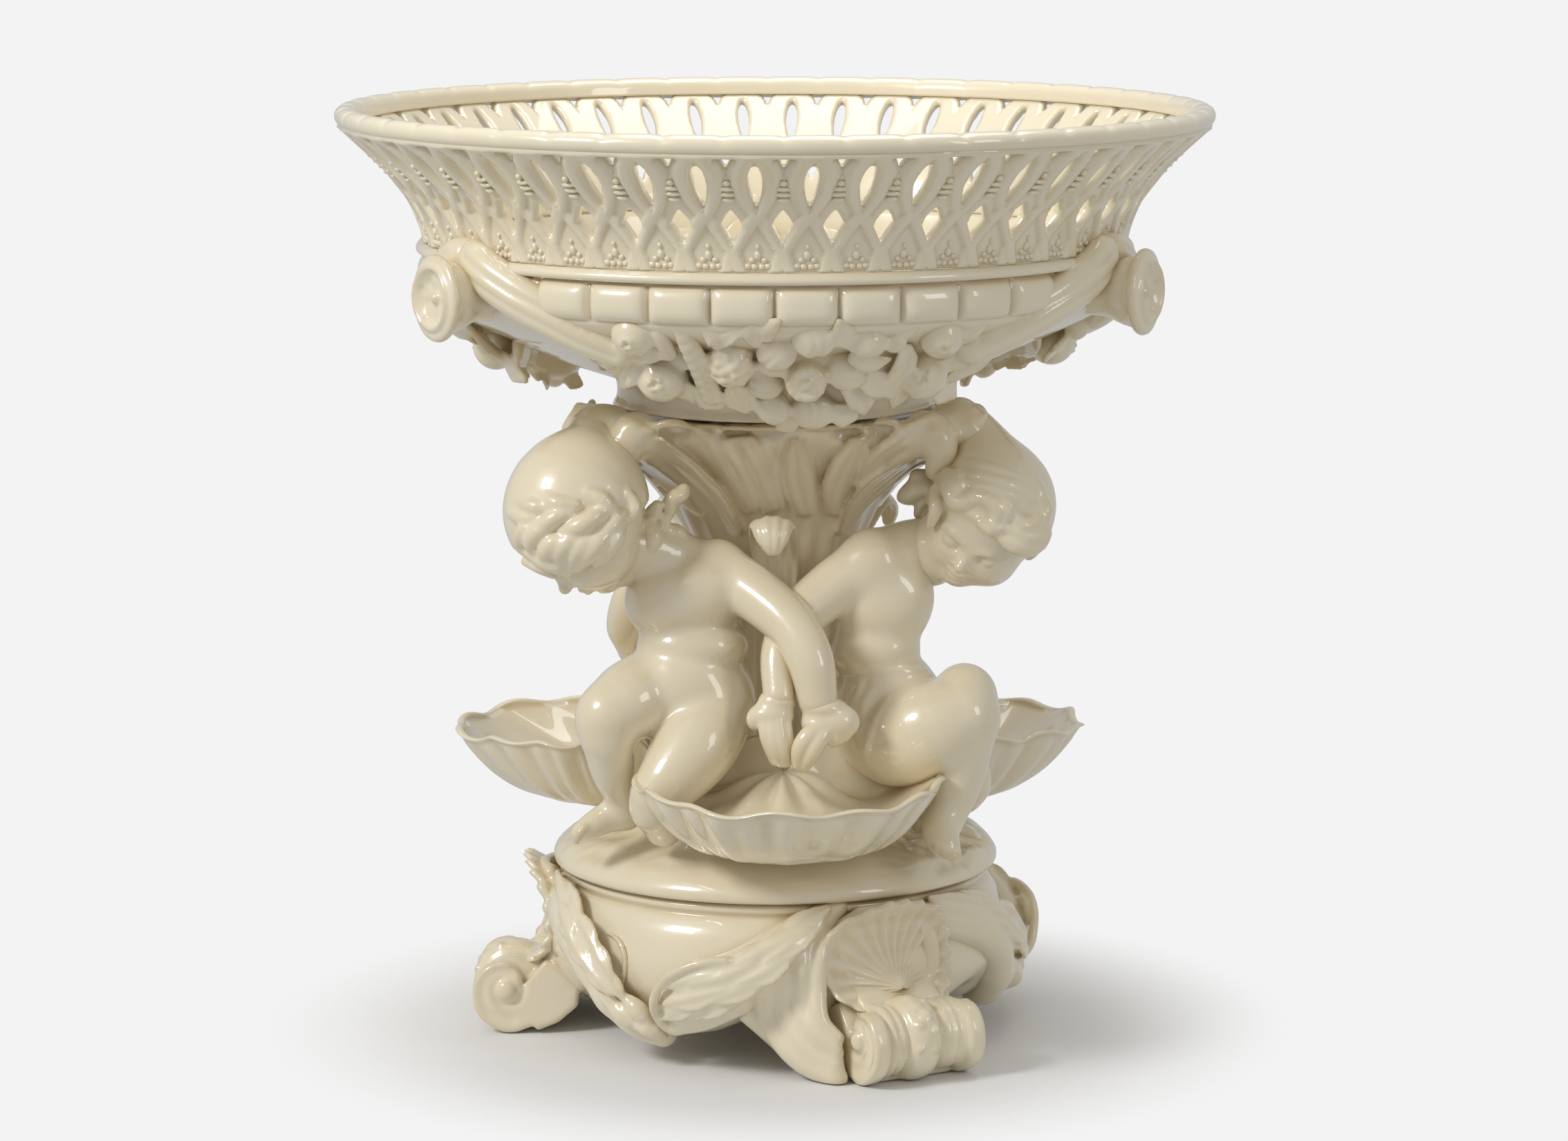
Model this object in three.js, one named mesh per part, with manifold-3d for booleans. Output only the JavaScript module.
// Glazed creamware table centerpiece: a pierced basket carried by three crouching children
// around a leafy stem, on a disc with three scallop dishes, above a plinth on three scroll feet.
// Millimetres, +Z up, origin on the table under the middle of the plinth.
import * as THREE from "three";
import { mergeVertices } from "three/addons/utils/BufferGeometryUtils.js";
import Module from "manifold-3d";

const wasm = await Module();
wasm.setup();

// Gap between pieces that are luted together or rest on each other
const clearance = 0.3;

// Turns of the three fired parts about the upright axis, in degrees from the front
const plinthTurn = 30;
const groupTurn = 3;
const basketTurn = 5;

// Plinth
const plinthHeight = 77;
const plinthRimRadius = 98;
const plinthBellyRadius = 108;
const plinthBaseRadius = 74;
const plinthBaseHeight = 7;
const plinthWall = 8;
const plinthOpeningRadius = 81;
const footRollRadius = 19.5;
const footRollCentre = plinthBellyRadius + 13.5;
const footRollLength = 55;
const footFlat = 1;
const footLegWidth = 40;
const footShellReach = 36;
const footShellWall = 3.5;
const swagThickness = 16;

// Figure group
const discRadius = 102.6;
const discEdgeHeight = 8;
const discCrownHeight = 40;
const discCrownRadius = 44;
const spigotRadius = 80;
const spigotDepth = 6;
const stemFootRadius = 37;
const stemWaistRadius = 31;
const capitalHeight = 213;
const capitalSideRadius = 75;
const capitalCornerRadius = 93;
const capitalBossRadius = 58;
const capitalBossHeight = 6;
const dishReach = 167;
const dishHalfWidth = 71;
const dishLipHeight = 54;
const dishTipRise = 5;
const dishFloorHeight = 31;
const dishUmboHeight = 52;
const dishUmboRadius = 64;
const dishWall = 4.5;

// Basket
const footRingRadius = 74;
const footRingWall = 14;
const footRingHeight = 14;
const bowlRadius = 158;
const bowlWall = 7;
const bowlConeHeight = 38.4;
const gadroonHeight = 17;
const gadroonDepth = 3;
const gadroonCount = 36;
const ledgeHeight = 6;
const wallFootRadius = bowlRadius + 2;
const wallFlare = 38;
const wallHeight = 52;
const wallThickness = 6;
const latticeCount = 48;
const rimRadius = wallFootRadius + wallFlare + 2;
const rimWidth = 12;
const rimHeight = 10.2;
const bossRadius = 18.5;
const bossReach = bowlRadius + 28;
const bossDrop = 13;
const garlandSag = 36;
const garlandBreadth = 25;

// Colours of the cream glaze, a shade apart so that each piece can be told from its neighbour
const glaze = { plinth: 0xe9dfc4, relief: 0xe4d8b8, disc: 0xe7dcc0, shell: 0xeadfc2, figure: 0xebe1c6,
  stem: 0xe2d5b2, basket: 0xece3ca, garland: 0xe6dabb };

const up = new THREE.Vector3(0, 0, 1);
const radians = THREE.MathUtils.degToRad;
const vec = (x, y, z) => new THREE.Vector3(x, y, z);

// A point at an azimuth measured from the front towards +X
function polar(radius, azimuth, height) {
  const angle = radians(azimuth);
  return vec(radius * Math.sin(angle), -radius * Math.cos(angle), height);
}

// Closed triangles from rings of points: neighbouring rings are joined and both ends are capped, by a
// fan round the middle or, for a ring that runs out along one face and back along the other, straight across
function skin(rings, across = false) {
  const count = rings[0].length;
  const points = rings.flat();
  const faces = [];
  for (let ring = 0; ring < rings.length - 1; ring += 1) {
    for (let side = 0; side < count; side += 1) {
      const next = (side + 1) % count;
      const a = ring * count + side;
      const b = ring * count + next;
      faces.push([a, b, b + count], [a, b + count, a + count]);
    }
  }
  const capEnd = (ring, flipped) => {
    const centre = vec(0, 0, 0);
    ring.forEach((point) => centre.addScaledVector(point, 1 / count));
    const start = points.indexOf(ring[0]);
    const middle = points.push(centre) - 1;
    for (let side = 0; side < count; side += 1) {
      const next = (side + 1) % count;
      faces.push(flipped ? [start + next, start + side, middle] : [start + side, start + next, middle]);
    }
  };
  const capAcross = (ring, flipped) => {
    const start = points.indexOf(ring[0]);
    for (let side = 0; side < count / 2 - 1; side += 1) {
      const corners = [side, side + 1, count - 2 - side, count - 1 - side].map((step) => start + step);
      const [a, b, c, d] = flipped ? corners.reverse() : corners;
      faces.push([a, b, c], [a, c, d]);
    }
  };
  const cap = across ? capAcross : capEnd;
  cap(rings[0], true);
  cap(rings[rings.length - 1], false);
  return fromFaces(points, faces);
}

// A manifold solid from points and faces, welded, with its faces turned outwards
function fromFaces(points, faces) {
  const geometry = new THREE.BufferGeometry().setFromPoints(points);
  geometry.setIndex(faces.flat());
  return fromGeometry(geometry);
}

function fromGeometry(source) {
  const bare = source.clone();
  bare.deleteAttribute("normal");
  bare.deleteAttribute("uv");
  const welded = mergeVertices(bare, 1e-3);
  const place = welded.attributes.position;
  const kept = [];
  let volume = 0;
  const corner = [vec(0, 0, 0), vec(0, 0, 0), vec(0, 0, 0)];
  for (let face = 0; face < welded.index.count; face += 3) {
    const [a, b, c] = [0, 1, 2].map((step) => welded.index.getX(face + step));
    if (a !== b && b !== c && c !== a) {
      kept.push(a, b, c);
      [a, b, c].forEach((index, at) => corner[at].fromBufferAttribute(place, index));
      volume += corner[0].dot(corner[1].clone().cross(corner[2]));
    }
  }
  if (volume < 0) {
    kept.reverse();
  }
  return new wasm.Manifold(new wasm.Mesh({
    numProp: 3,
    vertProperties: new Float32Array(place.array),
    triVerts: new Uint32Array(kept),
  }));
}

function toGeometry(solid) {
  const mesh = solid.getMesh();
  const geometry = new THREE.BufferGeometry();
  geometry.setAttribute("position", new THREE.BufferAttribute(new Float32Array(mesh.vertProperties), 3));
  geometry.setIndex(new THREE.BufferAttribute(new Uint32Array(mesh.triVerts), 1));
  geometry.computeVertexNormals();
  return geometry;
}

// The same solid with every corner moved outwards by a distance
function swell(solid, distance) {
  const geometry = toGeometry(solid);
  const place = geometry.attributes.position;
  const normal = geometry.attributes.normal;
  for (let index = 0; index < place.count; index += 1) {
    place.setXYZ(index, place.getX(index) + normal.getX(index) * distance,
      place.getY(index) + normal.getY(index) * distance, place.getZ(index) + normal.getZ(index) * distance);
  }
  return fromGeometry(geometry);
}

function join(...solids) {
  return solids.reduce((whole, solid) => whole.add(solid));
}

function cut(solid, ...tools) {
  return tools.reduce((rest, tool) => rest.subtract(tool), solid);
}

// A copy turned about the upright axis and raised
function turned(solid, azimuth, height = 0) {
  const matrix = new THREE.Matrix4().makeRotationZ(radians(azimuth));
  matrix.setPosition(0, 0, height);
  return solid.transform(matrix.elements);
}

// A solid of revolution from [radius, height] points that start and end on the axis or close on themselves
function lathe(profile, segments, shape = (radius) => radius) {
  const points = profile.map(([radius, height]) => new THREE.Vector2(radius, height));
  const geometry = new THREE.LatheGeometry(points, segments);
  geometry.rotateX(Math.PI / 2);
  const place = geometry.attributes.position;
  for (let index = 0; index < place.count; index += 1) {
    const x = place.getX(index);
    const y = place.getY(index);
    const radius = Math.hypot(x, y);
    if (radius > 1e-6) {
      const azimuth = Math.atan2(x, -y);
      const scale = shape(radius, azimuth, place.getZ(index)) / radius;
      place.setXY(index, x * scale, y * scale);
    }
  }
  return fromGeometry(geometry);
}

// A rounded limb along a smooth curve. Knots are [x, y, z, radius]; `wide` is the direction of the
// broad side and `squash` the thickness as a share of the breadth; `grow` thickens it all round.
function limb(knots, { sides = 8, steps = knots.length * 2, wide = null, squash = 1, grow = 0 } = {}) {
  const path = new THREE.CatmullRomCurve3(knots.map(([x, y, z]) => vec(x, y, z)), false, "catmullrom", 0.5);
  const sizes = new THREE.CatmullRomCurve3(knots.map((knot) => vec(knot[3], 0, 0)), false, "catmullrom", 0.5);
  const frames = path.computeFrenetFrames(steps, false);
  const rings = [];
  const addRing = (step, scale, shift) => {
    const centre = path.getPointAt(step / steps);
    const share = path.getUtoTmapping(step / steps);
    const radius = sizes.getPoint(share).x;
    const along = path.getTangentAt(step / steps);
    const broad = wide
      ? vec(...wide).addScaledVector(along, -vec(...wide).dot(along)).normalize()
      : frames.normals[step].clone();
    const deep = along.clone().cross(broad);
    centre.addScaledVector(along, shift * (radius * squash + grow));
    const ring = [];
    for (let side = 0; side < sides; side += 1) {
      const angle = (side * 2 * Math.PI) / sides;
      const point = centre.clone();
      point.addScaledVector(broad, Math.cos(angle) * (radius + grow) * scale);
      point.addScaledVector(deep, Math.sin(angle) * (radius * squash + grow) * scale);
      ring.push(point);
    }
    rings.push(ring);
  };
  addRing(0, 0.62, -0.78);
  for (let step = 0; step <= steps; step += 1) {
    addRing(step, 1, 0);
  }
  addRing(steps, 0.62, 0.78);
  return skin(rings);
}

// An egg-shaped lump: half sizes along its own axes, the third of them pointing along `crown`
function lump(centre, halfSizes, crown = [0, 0, 1], detail = 8, grow = 0) {
  const geometry = new THREE.SphereGeometry(1, detail, Math.max(4, Math.round(detail * 0.7)));
  geometry.rotateX(Math.PI / 2);
  geometry.scale(...halfSizes.map((size) => size + grow));
  const turn = new THREE.Quaternion().setFromUnitVectors(up, vec(...crown).normalize());
  geometry.applyQuaternion(turn);
  geometry.translate(...centre);
  return fromGeometry(geometry);
}

// Plinth

// Outer profile of the plinth body from its base to its top, [radius, height]
function plinthProfile(grow) {
  const middle = (plinthHeight + plinthBaseHeight) / 2;
  return [
    [plinthBaseRadius + grow, plinthBaseHeight - grow],
    [plinthBaseRadius + 0.62 * (plinthBellyRadius - plinthBaseRadius) + grow, plinthBaseHeight + 8 - grow],
    [plinthBellyRadius - 2 + grow, middle - 10],
    [plinthBellyRadius - 1 + grow, middle + 10],
    [plinthRimRadius + grow, plinthHeight - 6],
    [plinthRimRadius - 1.6 + grow, plinthHeight - 4],
    [plinthRimRadius + grow, plinthHeight - 2.6],
    [plinthRimRadius + grow, plinthHeight + grow],
  ];
}

function plinthBody() {
  const outside = plinthProfile(0);
  const inside = outside.slice(0, 4).map(([radius, height]) => [radius - plinthWall, height]);
  inside[0][1] = plinthBaseHeight;
  inside.push([plinthOpeningRadius, plinthHeight - plinthWall]);
  inside.push([plinthOpeningRadius, plinthHeight]);
  const loop = [...outside, ...inside.reverse(), outside[0]];
  return lathe(loop, 30);
}

function plinthBlank() {
  const profile = plinthProfile(clearance);
  const top = profile[profile.length - 1][1];
  return lathe([[0, profile[0][1]], ...profile, [0, top]], 30);
}

// Turned roll of a scroll foot, from left to right: the spiral end, a ring, the bead that it stands on
// and a drum
function footRoll(grow) {
  const half = footRollLength / 2;
  const bead = -1;
  const profile = [
    [0, -half - grow],
    [footRollRadius - 2.5, -half - grow],
    [footRollRadius - 2.5, -half + 6.5],
    [footRollRadius - 6, -half + 8],
    [footRollRadius - 3, bead - 15],
    [footRollRadius - 3.5, bead - 11],
    [footRollRadius - 6, bead - 9.5],
    [footRollRadius, bead - 5],
    [footRollRadius, bead + 5],
    [footRollRadius - 6, bead + 9],
    [footRollRadius - 4, bead + 12],
    [footRollRadius - 4, half + grow],
    [0, half + grow],
  ].map(([radius, along]) => [radius > 0 ? radius + grow : 0, along]);
  const roll = lathe(profile, 14);
  const place = new THREE.Matrix4().makeRotationY(Math.PI / 2);
  place.setPosition(0, -footRollCentre, footRollRadius - footFlat);
  return roll.transform(place.elements);
}

// Side outline of the leg, radius across and height up, swept sideways to its width
function footLeg(grow) {
  const outline = new THREE.Shape();
  outline.moveTo(-plinthBaseRadius - 2, plinthBaseHeight + 4 - grow);
  outline.quadraticCurveTo(-footRollCentre + 22, 7, -footRollCentre + 2, 3 - grow);
  outline.lineTo(-footRollCentre - 6 - grow, footRollRadius);
  outline.quadraticCurveTo(-footRollCentre - 2 - grow, footRollRadius * 2 + 2,
    -footRollCentre + footRollRadius / 2, plinthHeight * 0.58);
  outline.quadraticCurveTo(-footRollCentre + footRollRadius * 0.7 - grow, plinthHeight * 0.73,
    -plinthRimRadius - 2 * plinthWall - grow, plinthHeight - 4);
  outline.lineTo(-plinthRimRadius - 14, plinthHeight + 1 + grow);
  outline.lineTo(-plinthRimRadius - 7, plinthHeight - 3 + grow);
  outline.lineTo(-plinthRimRadius + 6, plinthHeight - 5 + grow);
  const width = footLegWidth + 2 * grow;
  const geometry = new THREE.ExtrudeGeometry(outline, { depth: width, bevelEnabled: false, curveSegments: 3 });
  geometry.translate(0, 0, -width / 2);
  // Outline x becomes -Y to the front, outline y becomes +Z, depth runs along X
  const place = new THREE.Matrix4().makeBasis(vec(0, 1, 0), vec(0, 0, 1), vec(1, 0, 0));
  geometry.applyMatrix4(place);
  return fromGeometry(geometry);
}

function footBlank(grow) {
  return join(footLeg(grow), footRoll(grow));
}

function scrollFoot() {
  const span = 4 * plinthBellyRadius;
  const floor = new THREE.BoxGeometry(span, span, 2 * footRollRadius).translate(0, 0, -footRollRadius);
  return cut(footBlank(0), plinthBlank(), fromGeometry(floor));
}

// Scallop that leans on the leg above the roll, hinge down and lip up
function footShell() {
  const hinge = vec(0, -footRollCentre + 3, footRollRadius * 2 - 3);
  const lean = vec(0, 0.3, 1).normalize();
  const outward = vec(0, -1, 0.3).normalize();
  const rays = 8;
  const steps = 3;
  const front = [];
  const back = [];
  for (let ray = 0; ray <= rays; ray += 1) {
    const spread = radians(-96 + (192 * ray) / rays);
    const flute = ray % 2 === 0 ? 1.1 : -1.1;
    const line = [];
    const rear = [];
    for (let step = 0; step <= steps; step += 1) {
      const share = 0.12 + (0.88 * step) / steps;
      const reach = footShellReach * (0.8 + 0.2 * Math.cos(spread)) * share;
      const point = hinge.clone();
      point.x += reach * Math.sin(spread) * 0.92;
      point.addScaledVector(lean, reach * Math.cos(spread) * 0.95);
      point.addScaledVector(outward, 5 * share * share + flute * share);
      line.push(point);
      rear.push(point.clone().addScaledVector(outward, -footShellWall));
    }
    front.push(line);
    back.push(rear);
  }
  const shell = skin(front.map((line, index) => [...line, ...back[index].reverse()]), true);
  return cut(shell, footBlank(clearance), plinthBlank());
}

// Laurel swag hung on the belly of the plinth between two feet
function laurelSwag(footTools) {
  const knots = [];
  const halfSpan = 34;
  const count = 7;
  for (let index = 0; index < count; index += 1) {
    const share = (2 * index) / (count - 1) - 1;
    const sag = 1 - share * share;
    const radius = plinthBellyRadius - 4 + 6 * sag;
    const height = plinthHeight - 18 - 36 * sag;
    const point = polar(radius, 60 + halfSpan * share, height);
    knots.push([point.x, point.y, point.z, swagThickness * (0.62 + 0.38 * sag)]);
  }
  const drape = limb(knots, { sides: 6, steps: 8, wide: [0, 0, 1], squash: 0.75 });
  return cut(drape, plinthBlank(), ...footTools);
}

// Figure group, drawn with its resting face at height zero

function discProfile(grow) {
  return [
    [discRadius - 1.6 + grow, -grow],
    [discRadius + grow, discEdgeHeight * 0.4],
    [discRadius - 1 + grow, discEdgeHeight],
    [discRadius - 9 + grow, discEdgeHeight + 10 + grow],
    [(discRadius + discCrownRadius) / 2, discCrownHeight - 7 + grow],
    [discCrownRadius, discCrownHeight + grow],
  ];
}

function groundDisc() {
  const top = discProfile(0);
  const under = [[spigotRadius, 0], [spigotRadius - 1, -spigotDepth], [spigotRadius - plinthWall, -spigotDepth]];
  const hollowTop = discEdgeHeight + 8;
  const hollow = [[spigotRadius - plinthWall, hollowTop - 4], [0, hollowTop]];
  const loop = [[0, discCrownHeight], ...top.reverse(), ...under, ...hollow];
  return lathe(loop, 30);
}

function discBlank() {
  const profile = discProfile(clearance);
  return lathe([[0, -clearance], ...profile, [0, discCrownHeight + clearance]], 30);
}

// The stem is round below and spreads into a three-cornered leafy capital
function stemShape(grow) {
  return (radius, azimuth, height) => {
    const rise = THREE.MathUtils.clamp((height - capitalHeight * 0.72) / (capitalHeight * 0.28), 0, 1);
    const corner = (capitalCornerRadius - capitalSideRadius) * rise;
    const swing = 0.5 - 0.5 * Math.cos(3 * azimuth);
    const leaf = 1.2 * Math.cos(18 * azimuth) * (radius > capitalBossRadius + 2 ? 1 : 0.6);
    return radius <= capitalBossRadius + 2 && height > capitalHeight - 1
      ? radius
      : radius + corner * swing + leaf + grow;
  };
}

function stemProfile(grow) {
  return [
    [stemFootRadius, discCrownHeight + clearance - 2 * grow],
    [stemWaistRadius, capitalHeight * 0.4],
    [stemWaistRadius, capitalHeight * 0.66],
    [stemWaistRadius + 14, capitalHeight * 0.81],
    [capitalSideRadius - 7, capitalHeight * 0.93],
    [capitalSideRadius, capitalHeight - 6],
    [capitalSideRadius - 1, capitalHeight + grow],
  ];
}

function stemCapital() {
  const profile = stemProfile(0);
  const boss = [
    [capitalBossRadius, capitalHeight],
    [capitalBossRadius - 1, capitalHeight + capitalBossHeight],
    [0, capitalHeight + capitalBossHeight],
  ];
  return lathe([[0, profile[0][1]], ...profile, ...boss], 36, stemShape(0));
}

function stemBlank() {
  const profile = stemProfile(clearance);
  const top = capitalHeight + clearance;
  return lathe([[0, profile[0][1]], ...profile, [0, top]], 36, stemShape(clearance));
}

// Leaf that curls over at the front of the stem, above each dish
function curledLeaf() {
  const waist = stemWaistRadius;
  const height = capitalHeight * 0.66;
  const leaf = limb([
    [4, -waist - 2, height - waist * 0.84, 6],
    [4, -waist - 5, height, 9],
    [4, -waist - 12, height + 20, 11],
    [4, -waist - 22, height + 24, 10],
    [4, -waist - 29, height + 12, 5],
  ], { sides: 5, steps: 6, wide: [1, 0, 0], squash: 0.3 });
  return cut(leaf, stemBlank());
}

// Scallop dish: flutes fan out from an umbo by the stem to a wavy lip
function dishBlank() {
  const rays = 16;
  const steps = 4;
  const middle = (dishUmboRadius + dishReach) / 2 + 4;
  const hinge = vec(0, -dishUmboRadius - 6, 0);
  const rings = [];
  for (let ray = 0; ray <= rays; ray += 1) {
    const spread = radians(-122 + (244 * ray) / rays);
    const flute = ray % 2 === 0 ? 1 : -1;
    const lip = vec(dishHalfWidth * Math.sin(spread), -middle - (dishReach - middle) * Math.cos(spread), 0);
    const curl = dishTipRise * Math.sin(spread) ** 2;
    const upper = [];
    const lower = [];
    for (let step = 0; step <= steps; step += 1) {
      const share = 0.06 + (0.94 * step) / steps;
      const point = hinge.clone().lerp(lip, share);
      const fall = Math.max(0, 1 - share / 0.42) ** 1.6;
      const climb = Math.max(0, (share - 0.3) / 0.7) ** 1.7;
      const floor = dishFloorHeight + (dishUmboHeight - dishFloorHeight) * fall;
      const height = floor + (dishLipHeight + curl - dishFloorHeight) * climb + flute * 1.1 * share;
      const root = 16 * Math.max(0, 1 - share * 1.5);
      upper.push(point.clone().setZ(height));
      lower.push(point.clone().setZ(height - dishWall - root));
    }
    rings.push([...upper, ...lower.reverse()]);
  }
  return skin(rings, true);
}

function shellDish() {
  return cut(dishBlank(), discBlank(), stemBlank());
}

// The children, drawn under a capital of this height and stretched upright with it. Each list of knots
// is [x, y, z, radius] in the group's own frame, front towards -Y.
const drawnCapitalHeight = 213;
const stature = capitalHeight / drawnCapitalHeight;

function atStature(knots) {
  return knots.map(([x, y, z, ...sizes]) => [x, y, z * stature, ...sizes]);
}

// The first child lowers its left arm to the front dish and wraps the right one over the capital
const leaningChild = {
  torso: atStature([[-40, -58, 84, 23], [-40, -61, 95, 27], [-40, -60, 111, 23.5], [-43, -58, 129, 25.5],
    [-45, -56, 141, 22], [-51, -53, 149, 13]]),
  torsoWide: [0.9, -0.4, 0.1],
  limbs: [
    [[-56, -61, 90, 19], [-69, -73, 88, 18], [-77, -80, 83, 15.5], [-79, -80, 72, 12.5], [-76, -72, 57, 10.3],
      [-73, -62, 40, 8]],
    [[-71, -59, 35, 8.5], [-79, -62, 32, 7.2], [-89, -65, 26, 5.5]],
    [[-32, -62, 83, 20], [-39, -78, 70, 19], [-50, -88, 58, 15.5], [-58, -90, 48, 12], [-55, -79, 36, 10]],
  ].map(atStature),
  head: { centre: atStature([[-91, -69, 172]])[0], sizes: [28, 30, 32], crown: [-0.7, -0.2, 0.68] },
  jaw: { centre: atStature([[-84, -77, 154]])[0], sizes: [18, 19, 23] },
  neck: atStature([[-53, -55, 151, 13.5], [-70, -60, 158, 14]]),
  bow: atStature([[-57, -62, 180]])[0],
  lowered: atStature([[-29, -59, 145, 13.5], [-13, -71, 136, 12.4], [3, -86, 124, 11.4], [11, -95, 110, 10.6],
    [14, -97, 93, 8.9]]),
  loweredHand: atStature([[16, -97, 92, 9.5], [18, -99, 82, 10.5], [10, -103, 67, 5.5]]),
  raised: atStature([[-53, -41, 145, 13], [-74, -34, 159, 12], [-89, -29, 180, 11.5], [-97, -24, 197, 10.5],
    [-96, -21, 210, 9], [-83, -19, 219, 6]]),
};

// The second child is turned away to the right, its thigh draped, and lowers its right arm
const turningChild = {
  torso: atStature([[48, -51, 76, 22], [50, -54, 88, 25], [46, -54, 109, 20.5], [49, -55, 129, 23.5],
    [48, -55, 141, 21], [55, -51, 149, 14]]),
  torsoWide: [0.85, 0.5, 0.1],
  limbs: [
    [[41, -60, 72, 17], [52, -71, 70, 20], [66, -78, 76, 20], [82, -74, 84, 16.5], [82, -75, 70, 13.5],
      [76, -72, 50, 12.5], [72, -74, 38, 9]],
    [[72, -76, 34, 8.5], [74, -80, 26, 7.5], [77, -82, 19, 6]],
    [[52, -33, 68, 20], [74, -30, 54, 18], [84, -30, 41, 14], [78, -30, 35, 11]],
  ].map(atStature),
  head: { centre: atStature([[95, -56, 169]])[0], sizes: [28, 30, 31], crown: [0.3, -0.4, 0.86] },
  jaw: { centre: atStature([[84, -66, 152]])[0], sizes: [18, 19, 22] },
  neck: atStature([[58, -49, 151, 13.5], [72, -52, 158, 14]]),
  bow: atStature([[69, -52, 179]])[0],
  lowered: atStature([[41, -58, 148, 13.5], [23, -63, 137, 12.5], [7, -72, 125, 11], [-2, -84, 111, 8.6],
    [-3, -94, 93, 7.2]]),
  loweredHand: atStature([[-4, -94, 92, 8], [-7, -95, 84, 9.5], [-2, -100, 67, 5.5]]),
  raised: atStature([[60, -43, 150, 13], [86, -35, 158, 12], [99, -31, 179, 11.5], [104, -27, 195, 10.5],
    [98, -23, 210, 9], [83, -21, 219, 6]]),
};

// The third child, at the back, is the first one again with its left hand on its own thigh
const restingChild = {
  ...leaningChild,
  lowered: atStature([[-29, -59, 145, 13.5], [-17, -68, 131, 12.4], [-14, -80, 115, 11.2], [-22, -90, 100, 10],
    [-31, -94, 92, 8.6]]),
  loweredHand: atStature([[-34, -95, 89, 9], [-41, -96, 84, 8.5], [-49, -97, 79, 5.5]]),
};

function torsoBlank(child, grow) {
  const trunk = limb(child.torso, { sides: 10, steps: 6, wide: child.torsoWide, squash: 0.86, grow });
  const legs = child.limbs.map((knots) => limb(knots, { sides: 6, steps: knots.length, grow }));
  return join(trunk, ...legs);
}

function headBlank(child, grow) {
  const { centre, sizes, crown } = child.head;
  const skull = lump(centre, sizes, crown, 10, grow);
  const jaw = lump(child.jaw.centre, child.jaw.sizes, crown, 7, grow);
  const neck = limb(child.neck, { sides: 6, steps: 1, grow });
  const [x, y, z] = child.bow;
  const bow = lump([x, y, z], [8, 8, 11], [0.2, 0.1, 1], 6, grow);
  return join(skull, jaw, neck, bow);
}

function raisedBlank(child, grow) {
  return limb(child.raised, { sides: 6, steps: 6, grow });
}

function loweredBlank(child, grow) {
  const hand = limb(child.loweredHand, { sides: 6, steps: 2, wide: [1, 0.2, 0], squash: 0.7, grow });
  return join(limb(child.lowered, { sides: 6, steps: 6, grow }), hand);
}

function childPieces(child, ...inFront) {
  const dishTool = join(swell(dishBlank(), 3 * clearance), dishBlank());
  const dishes = [-120, 0, 120].map((azimuth) => turned(dishTool, azimuth));
  const setting = [discBlank(), stemBlank(), ...dishes];
  const torsoTool = join(torsoBlank(child, clearance), torsoBlank(child, 0));
  const torso = cut(torsoBlank(child, 0), ...setting);
  const lowered = cut(loweredBlank(child, 0), torsoTool, ...inFront, ...setting);
  const basketTool = turned(join(bowlBlank(), ringBlank()), 0, capitalHeight + clearance);
  const raised = cut(raisedBlank(child, 0), torsoTool, stemBlank(), basketTool);
  const head = cut(headBlank(child, 0), torsoTool, raisedBlank(child, clearance), stemBlank());
  return { torso, lowered, raised, head };
}

// Basket, drawn with its resting face at height zero

const bowlSeat = footRingHeight + clearance;
const bandBottom = bowlSeat + bowlConeHeight;
const bandTop = bandBottom + gadroonHeight;
const ledgeTop = bandTop + ledgeHeight;
const wallBase = ledgeTop + clearance;
const wallTop = wallBase + wallHeight;
const rimBase = wallTop + clearance;

function bowlProfile(grow) {
  const shoulder = footRingRadius + 3;
  return [
    [shoulder + grow, bowlSeat - grow],
    [bowlRadius + grow, bandBottom - grow],
    [bowlRadius + gadroonDepth + 1 + grow, bandBottom + gadroonHeight * 0.5],
    [bowlRadius + 2 + grow, bandTop],
    [wallFootRadius + 3.5 + grow, bandTop + 1.6],
    [wallFootRadius + 3.5 + grow, ledgeTop],
  ];
}

// Lobes of the gadroon band, two facets to a lobe
function gadroonShape(radius, azimuth, height) {
  const inBand = radius > bowlRadius + 2.2 && height > bandBottom && height < bandTop - 1;
  const groove = Math.abs(Math.cos((azimuth * gadroonCount) / 2)) < 0.2 ? gadroonDepth * 0.7 : 0;
  return inBand ? radius - groove : radius;
}

function basketBowl() {
  const outside = bowlProfile(0);
  const inner = wallFootRadius - wallThickness - 1;
  const inside = [
    [inner, ledgeTop],
    [bowlRadius - bowlWall, bandBottom + 4],
    [footRingRadius, bowlSeat + bowlWall],
    [0, bowlSeat + bowlWall],
  ];
  return lathe([[0, bowlSeat], ...outside, ...inside], gadroonCount * 2, gadroonShape);
}

function bowlBlank() {
  const profile = bowlProfile(clearance);
  const outside = profile.map(([radius, height]) => [radius / Math.cos(Math.PI / gadroonCount), height]);
  return lathe([[0, profile[0][1]], ...outside, [0, ledgeTop]], gadroonCount);
}

function footRing() {
  const inner = footRingRadius - footRingWall;
  return lathe([[inner, 0], [footRingRadius, 0], [footRingRadius - 1.5, footRingHeight * 0.5],
    [footRingRadius, footRingHeight], [inner, footRingHeight], [inner, 0]], 24);
}

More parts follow.
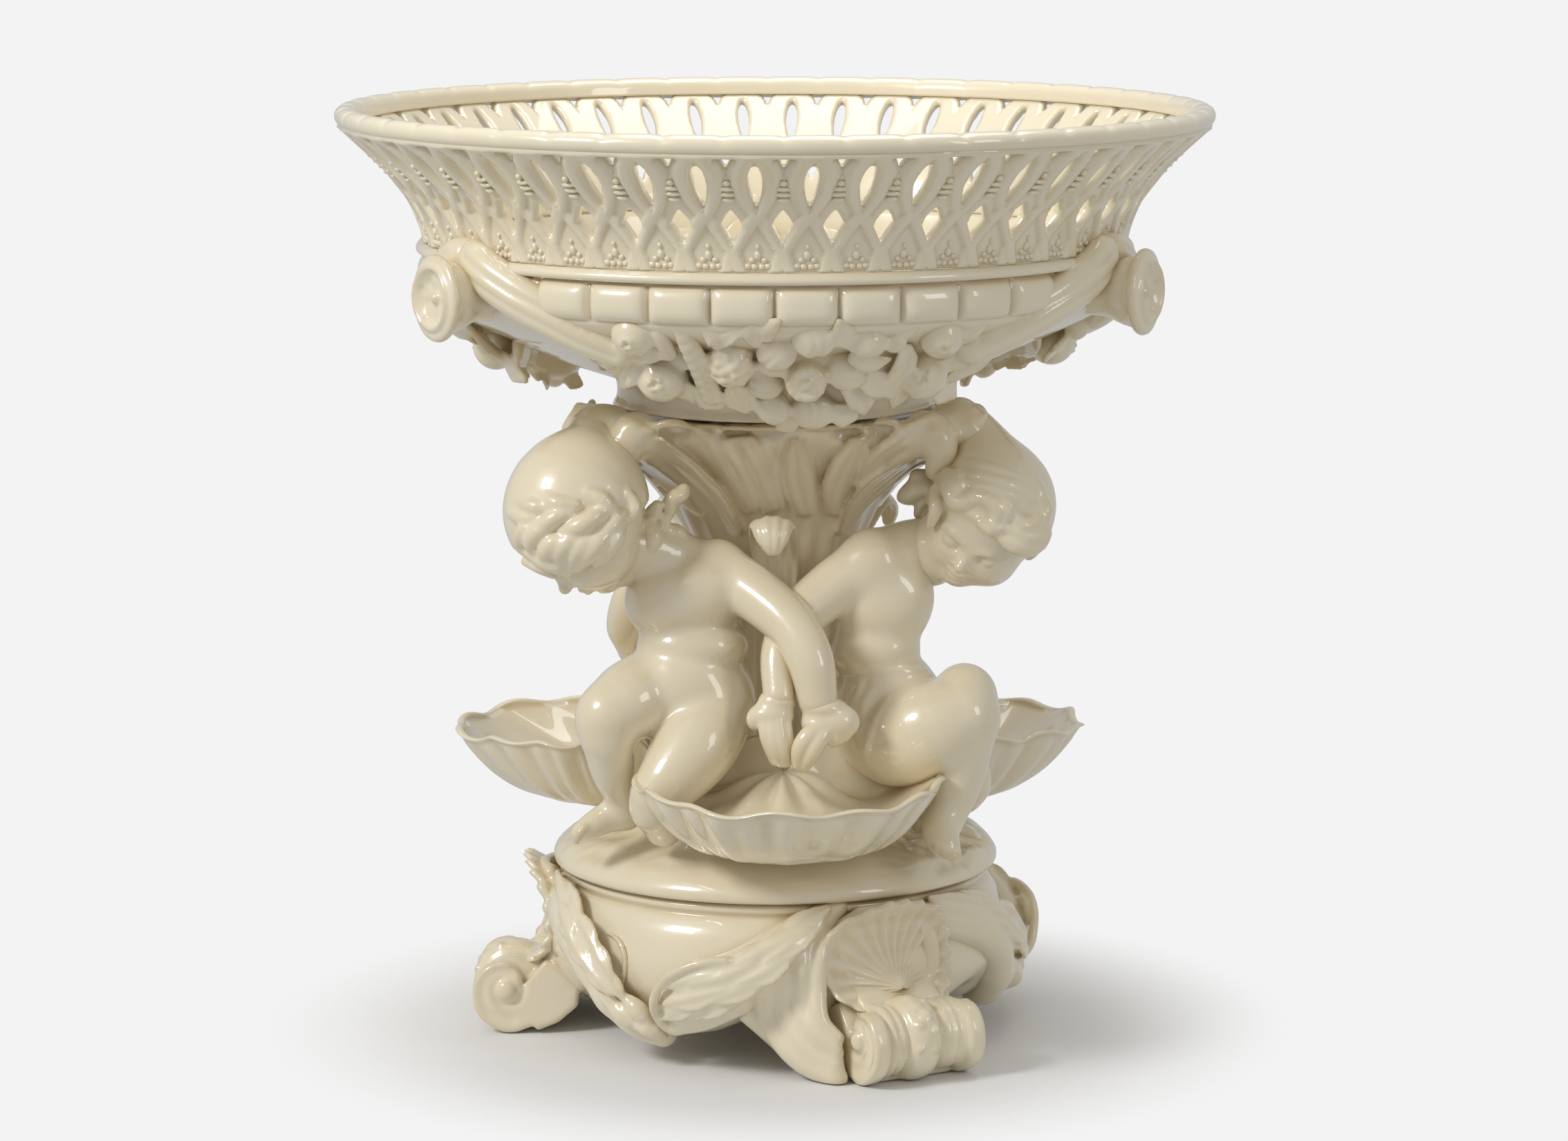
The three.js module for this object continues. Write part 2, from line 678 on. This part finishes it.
// One unit of the lattice, drawn flat: turn as a share of the pitch across, share of the height up
function latticeUnit() {
  const point = (turn, height) => new THREE.Vector2(turn, height);
  const sideCut = -0.21;
  const levels = [0, 0.5, 1];
  const contour = [];
  levels.forEach((height) => contour.push(point(sideCut + 1, height)));
  levels.slice().reverse().forEach((height) => contour.push(point(sideCut, height)));
  const lens = [point(0, 0.53), point(-0.15, 0.7), point(-0.15, 0.85), point(0, 0.94),
    point(0.15, 0.85), point(0.15, 0.7)];
  const diamond = [point(0.5, 0.22), point(0.27, 0.41), point(0.5, 0.59), point(0.73, 0.41)];
  const triangle = [point(0.5, 0.83), point(0.34, 0.95), point(0.66, 0.95)];
  return { contour, holes: [lens, diamond, triangle] };
}

function piercedWall() {
  const { contour, holes } = latticeUnit();
  if (THREE.ShapeUtils.isClockWise(contour)) {
    contour.reverse();
  }
  holes.forEach((hole) => {
    if (!THREE.ShapeUtils.isClockWise(hole)) {
      hole.reverse();
    }
  });
  const flat = [...contour, ...holes.flat()];
  const flatFaces = THREE.ShapeUtils.triangulateShape(contour, holes);
  const pitch = 360 / latticeCount;
  const points = [];
  const faces = [];
  for (let unit = 0; unit < latticeCount; unit += 1) {
    const outer = points.length;
    const inner = outer + flat.length;
    [0, wallThickness].forEach((inset) => {
      flat.forEach(({ x, y }) => {
        const radius = wallFootRadius + wallFlare * y ** 1.7 - inset;
        points.push(polar(radius, (unit + x) * pitch, wallBase + wallHeight * y));
      });
    });
    flatFaces.forEach(([a, b, c]) => {
      faces.push([outer + a, outer + b, outer + c], [inner + a, inner + c, inner + b]);
    });
    let start = 0;
    [contour, ...holes].forEach((loop, which) => {
      loop.forEach((from, index) => {
        const next = (index + 1) % loop.length;
        const onSide = which === 0 && from.x === loop[next].x;
        if (!onSide) {
          const a = start + index;
          const b = start + next;
          faces.push([outer + b, outer + a, inner + a], [outer + b, inner + a, inner + b]);
        }
      });
      start += loop.length;
    });
  }
  return fromFaces(points, faces);
}

// Rolled rim with a gentle scallop over each lattice unit
function rimRoll() {
  const inner = rimRadius - rimWidth;
  const waved = (radius, azimuth, height) => {
    const wave = Math.cos(azimuth * latticeCount);
    return height > rimBase + 1 && radius > rimRadius - 3 ? radius - 0.8 + 0.8 * wave : radius;
  };
  return lathe([[inner, rimBase], [rimRadius - 1, rimBase], [rimRadius, rimBase + 5],
    [rimRadius - 6, rimBase + rimHeight], [inner, rimBase]], latticeCount * 2, waved);
}

// Round boss standing out from the gadroon band, with a raised rim round a rosette
function bossBlank(grow) {
  const root = bowlRadius - 14;
  const radius = bossRadius + grow;
  const boss = lathe([[0, root], [radius - 3, root], [radius - 3, bowlRadius + 6], [radius, bowlRadius + 12],
    [radius, bossReach - 2], [radius - 3, bossReach + grow], [radius - 5, bossReach - 3],
    [0, bossReach + 1 + grow]], 12);
  const place = new THREE.Matrix4().makeRotationX(Math.PI / 2);
  place.setPosition(0, 0, bandTop - bossDrop + 4);
  return boss.transform(place.elements);
}

function rosetteBoss() {
  const ledge = bowlProfile(clearance);
  const skirt = lathe([[0, bandTop - 2], [ledge[5][0], bandTop - 2], [ledge[5][0], wallBase + 1],
    [0, wallBase + 1]], gadroonCount);
  return cut(bossBlank(0), bowlBlank(), skirt);
}

// Garland of fruit and flowers hung under the gadroon band from boss to boss
function garland() {
  const halfSpan = 53;
  const count = 9;
  const place = (share) => {
    const sag = Math.cos((share * Math.PI) / 2) ** 1.3;
    const radius = bowlRadius + 2 - garlandSag * sag;
    const height = bandBottom + 4 - garlandSag * 1.02 * sag;
    return { point: polar(radius, halfSpan * share, height), sag };
  };
  const knots = [];
  for (let index = 0; index < count; index += 1) {
    const { point, sag } = place((2 * index) / (count - 1) - 1);
    knots.push([point.x, point.y, point.z, garlandBreadth * (0.36 + 0.64 * sag)]);
  }
  const fruits = [[-0.5, 11, 3], [-0.25, 13, 3], [0, 16, -4], [0.25, 13, 4], [0.5, 11, 2]].map(([share, size, drop]) => {
    const { point } = place(share);
    const outward = polar(1, halfSpan * share, 0).setZ(-0.4).normalize();
    const centre = point.clone().addScaledVector(outward, 6).setZ(point.z + drop);
    return lump(centre.toArray(), [size, size, size * 0.8], outward.toArray(), 6);
  });
  const tools = [bowlBlank(), ringBlank(), ...[-60, 60].map((azimuth) => turned(bossBlank(clearance), azimuth))];
  const bunch = limb(knots, { sides: 7, steps: 10, wide: [0, 0, 1], squash: 0.62 });
  return cut(join(bunch, ...fruits), ...tools);
}

function ringBlank() {
  const radius = footRingRadius + clearance;
  return lathe([[0, -2], [radius, -2], [radius, bowlSeat + 1], [0, bowlSeat + 1]], 24);
}

// Assembly

function piece(name, solid, colour, parent, azimuth = 0) {
  const material = new THREE.MeshStandardMaterial({ color: colour, roughness: 0.2, metalness: 0 });
  const mesh = new THREE.Mesh(toGeometry(solid), material);
  mesh.name = name;
  mesh.rotation.z = radians(azimuth);
  parent.add(mesh);
}

const group = new THREE.Group();
const thirds = [0, 120, 240];

const plinth = new THREE.Group();
plinth.rotation.z = radians(plinthTurn);
group.add(plinth);
piece("plinth_body", plinthBody(), glaze.plinth, plinth);
const foot = scrollFoot();
const ornament = footShell();
const swag = laurelSwag([turned(footBlank(clearance), 0), turned(footBlank(clearance), 120)]);
thirds.forEach((azimuth, index) => {
  piece(`scroll_foot_${index + 1}`, foot, glaze.plinth, plinth, azimuth);
  piece(`foot_shell_${index + 1}`, ornament, glaze.shell, plinth, azimuth);
  piece(`laurel_swag_${index + 1}`, swag, glaze.relief, plinth, azimuth);
});

const figures = new THREE.Group();
figures.position.z = plinthHeight + clearance;
figures.rotation.z = radians(groupTurn);
group.add(figures);
piece("ground_disc", groundDisc(), glaze.disc, figures);
piece("stem_capital", stemCapital(), glaze.stem, figures);
const dish = shellDish();
const leaf = curledLeaf();
thirds.forEach((azimuth, index) => {
  piece(`shell_dish_${index + 1}`, dish, glaze.shell, figures, azimuth);
  piece(`curled_leaf_${index + 1}`, leaf, glaze.stem, figures, azimuth);
});
const leaning = childPieces(leaningChild, torsoBlank(turningChild, clearance));
const turning = childPieces(turningChild, torsoBlank(leaningChild, clearance),
  loweredBlank(leaningChild, clearance));
const resting = childPieces(restingChild);
[[leaning, 0], [turning, 0], [resting, -120]].forEach(([child, azimuth], index) => {
  piece(`child_torso_${index + 1}`, child.torso, glaze.figure, figures, azimuth);
  piece(`child_head_${index + 1}`, child.head, glaze.figure, figures, azimuth);
  piece(`child_lowered_arm_${index + 1}`, child.lowered, glaze.figure, figures, azimuth);
  piece(`child_raised_arm_${index + 1}`, child.raised, glaze.figure, figures, azimuth);
});

const basket = new THREE.Group();
basket.position.z = plinthHeight + clearance + capitalHeight + clearance;
basket.rotation.z = radians(basketTurn);
group.add(basket);
piece("basket_foot_ring", footRing(), glaze.basket, basket);
piece("basket_bowl", basketBowl(), glaze.basket, basket);
piece("pierced_wall", piercedWall(), glaze.basket, basket);
piece("basket_rim", rimRoll(), glaze.basket, basket);
const festoon = garland();
const boss = rosetteBoss();
thirds.forEach((azimuth, index) => {
  piece(`garland_${index + 1}`, festoon, glaze.garland, basket, azimuth);
  piece(`rosette_boss_${index + 1}`, boss, glaze.garland, basket, azimuth + 60);
});

export default group;
